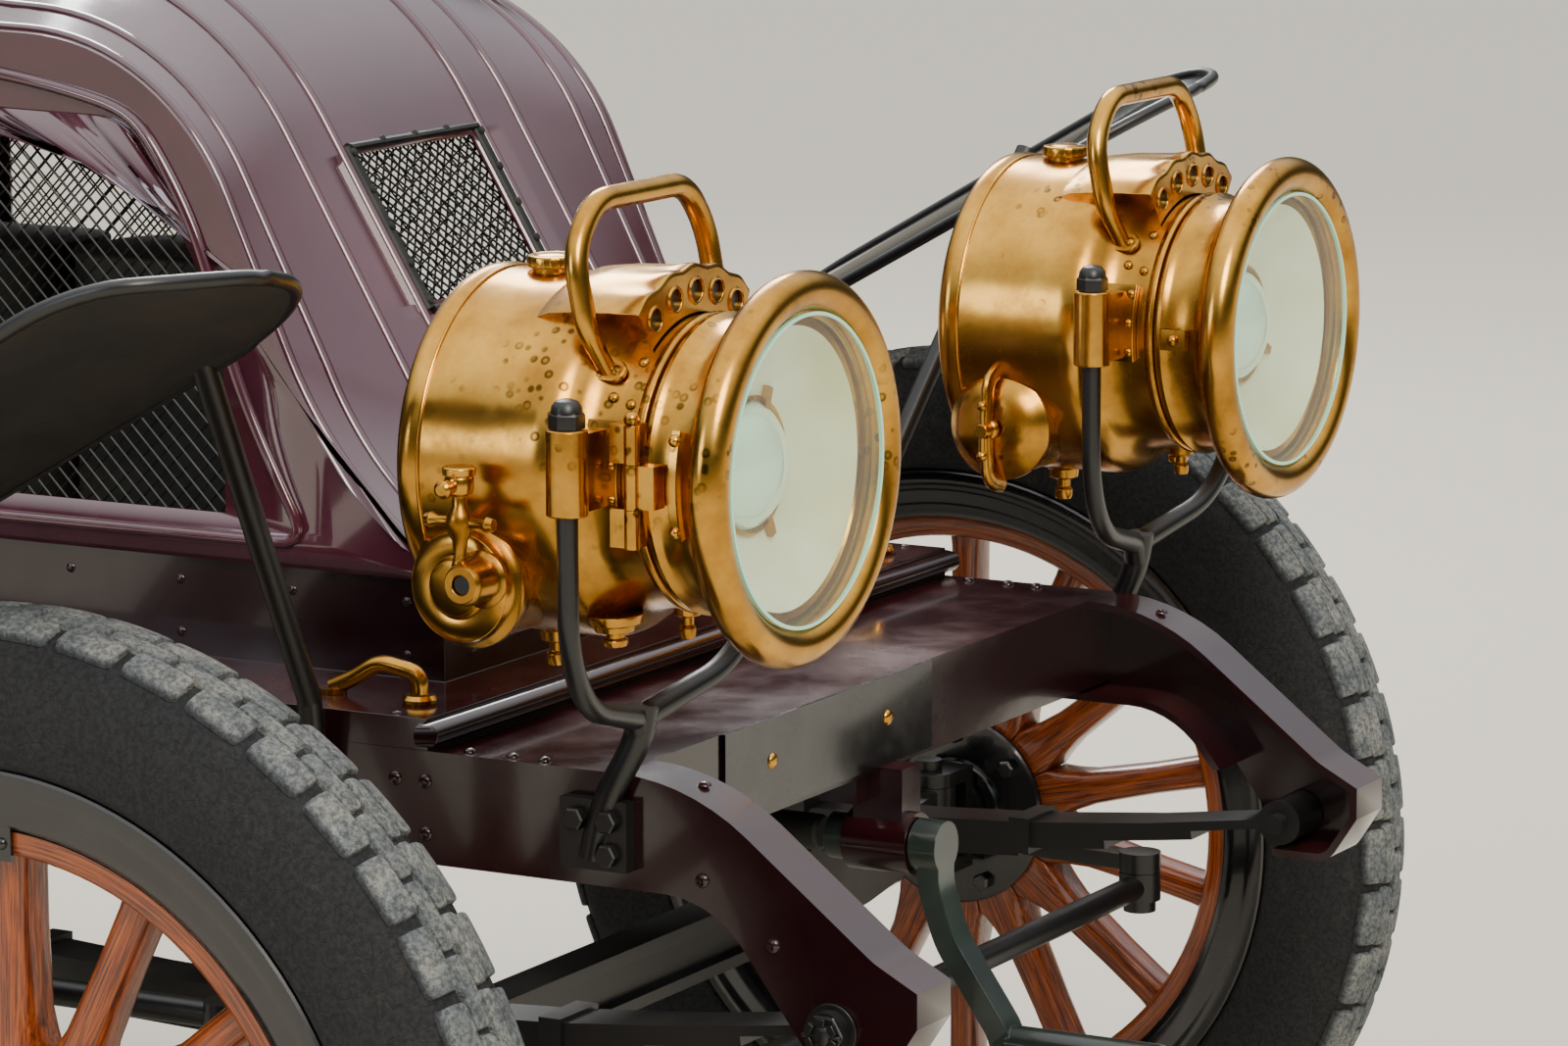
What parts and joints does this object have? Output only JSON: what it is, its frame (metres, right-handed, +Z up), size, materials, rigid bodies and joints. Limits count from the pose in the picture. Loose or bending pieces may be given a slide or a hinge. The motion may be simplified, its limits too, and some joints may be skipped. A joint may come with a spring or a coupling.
{
  "type": "brass era car",
  "caption": "Open four-seat car of the brass era: scuttle bonnet, gas headlamps, wooden-spoked wheels, linked steering, lifting bonnet, opening lamps and doors.",
  "frame": {"origin": "on the ground under the middle of the car's box", "axes": "+Z up; the car faces -Y and its own right side is at -X"},
  "size_m": [1.64, 3.828, 1.5],
  "materials": {
    "tyre": "worn",
    "wheel_wood": "varnished",
    "wheel_steel": "gloss",
    "frame_paint": "gloss",
    "axle_black": "satin",
    "spring_steel": "satin",
    "engine_iron": "rough",
    "exhaust_iron": "rough",
    "sill_paint": "gloss",
    "bonnet_paint": "gloss",
    "mesh": "satin",
    "radiator": "aged",
    "dash_wood": "varnished",
    "floor_wood": "satin",
    "body_paint": "gloss",
    "leather": "buttoned",
    "wing_black": "gloss",
    "iron_black": "satin",
    "brass": "aged",
    "glass": "clear",
    "mirror": "polished",
    "plate": "satin",
    "column": "polished",
    "rim_wood": "varnished",
    "crank_iron": "satin"
  },
  "bodies": {
    "chassis": {"frame": "frame_paint", "front_springs": "spring_steel", "rear_springs": "spring_steel", "front_axle": "axle_black", "rear_axle": "axle_black", "engine": "engine_iron", "gearbox": "engine_iron", "exhaust": "exhaust_iron", "bonnet_sill": "sill_paint", "radiator": "radiator", "dash": "dash_wood", "floor": "floor_wood", "seat_box": "body_paint", "tub": "body_paint", "seat_cushions": "leather", "seat_backs": "leather", "wings": "wing_black", "running_boards": "wing_black", "wing_stays": "iron_black", "lamp_drums": "brass", "lamp_mirrors": "mirror", "lamp_forks": "iron_black", "front_plate": "plate", "steering_column": "column", "levers": "iron_black"},
    "bonnet": {"bonnet": "bonnet_paint", "bonnet_mesh": "mesh"},
    "lamp_door_left": {"lamp_door_left": "brass", "lamp_glass_left": "glass"},
    "lamp_door_right": {"lamp_door_right": "brass", "lamp_glass_right": "glass"},
    "knuckle_left": {"knuckle_left": "axle_black"},
    "knuckle_right": {"knuckle_right": "axle_black"},
    "tie_rod": {"tie_rod": "axle_black"},
    "drop_arm": {"drop_arm": "axle_black"},
    "drag_link": {"drag_link": "axle_black"},
    "steering_wheel": {"steering_wheel": "rim_wood"},
    "crank": {"crank": "crank_iron"},
    "door_left": {"door_left": "body_paint"},
    "door_right": {"door_right": "body_paint"},
    "wheel_front_left": {"tyre_front_left": "tyre", "wood_front_left": "wheel_wood", "rim_front_left": "wheel_steel"},
    "wheel_front_right": {"tyre_front_right": "tyre", "wood_front_right": "wheel_wood", "rim_front_right": "wheel_steel"},
    "wheel_rear_left": {"tyre_rear_left": "tyre", "wood_rear_left": "wheel_wood", "rim_rear_left": "wheel_steel"},
    "wheel_rear_right": {"tyre_rear_right": "tyre", "wood_rear_right": "wheel_wood", "rim_rear_right": "wheel_steel"}
  },
  "joints": [
    {"name": "bonnet_lift", "type": "hinge", "parent": "chassis", "child": "bonnet", "pos_m": [0, -0.604, 1.28], "axis": [-1, 0, 0], "range_deg": [0, 50]},
    {"name": "lamp_door_left_swing", "type": "hinge", "parent": "chassis", "child": "lamp_door_left", "pos_m": [0.516, -1.759, 0.897], "axis": [0, 0, 1], "range_deg": [0, 100]},
    {"name": "lamp_door_right_swing", "type": "hinge", "parent": "chassis", "child": "lamp_door_right", "pos_m": [-0.516, -1.759, 0.897], "axis": [0, 0, -1], "range_deg": [0, 100]},
    {"name": "door_left_swing", "type": "hinge", "parent": "chassis", "child": "door_left", "pos_m": [0.587, 0.506, 0.95], "axis": [0, 0, -1], "range_deg": [0, 75]},
    {"name": "door_right_swing", "type": "hinge", "parent": "chassis", "child": "door_right", "pos_m": [-0.587, 0.506, 0.95], "axis": [0, 0, 1], "range_deg": [0, 75]},
    {"name": "crank_turn", "type": "hinge", "parent": "chassis", "child": "crank", "pos_m": [0, -1.69, 0.545], "axis": [0, 1, 0], "continuous": true},
    {"name": "steer_right", "type": "hinge", "parent": "chassis", "child": "knuckle_right", "pos_m": [-0.625, -1.39, 0.4075], "axis": [0, 0, 1], "range_deg": [-25, 25]},
    {"name": "steer_left", "type": "hinge", "parent": "chassis", "child": "knuckle_left", "pos_m": [0.625, -1.39, 0.4075], "axis": [0, 0, 1], "range_deg": [-25, 25]},
    {"name": "tie_rod_pivot", "type": "hinge", "parent": "knuckle_right", "child": "tie_rod", "pos_m": [-0.625, -1.595, 0.372], "axis": [0, 0, 1], "range_deg": [-25, 25]},
    {"name": "drop_arm_swing", "type": "hinge", "parent": "chassis", "child": "drop_arm", "pos_m": [-0.414, -0.45, 0.64], "axis": [1, 0, 0], "range_deg": [-25, 25]},
    {"name": "drag_link_pivot", "type": "hinge", "parent": "drop_arm", "child": "drag_link", "pos_m": [-0.461, -0.45, 0.476], "axis": [1, 0, 0], "range_deg": [-25, 25]},
    {"name": "steering_wheel_turn", "type": "hinge", "parent": "chassis", "child": "steering_wheel", "pos_m": [-0.3, -0.06, 1.32], "axis": [0, 0.5, 0.866], "range_deg": [-100, 100]},
    {"name": "wheel_front_right_spin", "type": "hinge", "parent": "knuckle_right", "child": "wheel_front_right", "pos_m": [-0.705, -1.39, 0.4075], "axis": [1, 0, 0], "continuous": true},
    {"name": "wheel_front_left_spin", "type": "hinge", "parent": "knuckle_left", "child": "wheel_front_left", "pos_m": [0.705, -1.39, 0.4075], "axis": [1, 0, 0], "continuous": true},
    {"name": "wheel_rear_right_spin", "type": "hinge", "parent": "chassis", "child": "wheel_rear_right", "pos_m": [-0.705, 1.41, 0.4075], "axis": [1, 0, 0], "continuous": true},
    {"name": "wheel_rear_left_spin", "type": "hinge", "parent": "chassis", "child": "wheel_rear_left", "pos_m": [0.705, 1.41, 0.4075], "axis": [1, 0, 0], "continuous": true}
  ],
  "couplings": [
    {"joint": "steer_left", "follows": "steer_right", "ratio": 1},
    {"joint": "tie_rod_pivot", "follows": "steer_right", "ratio": -1},
    {"joint": "drop_arm_swing", "follows": "steer_right", "ratio": 1},
    {"joint": "drag_link_pivot", "follows": "steer_right", "ratio": -1},
    {"joint": "steering_wheel_turn", "follows": "steer_right", "ratio": 4}
  ]
}
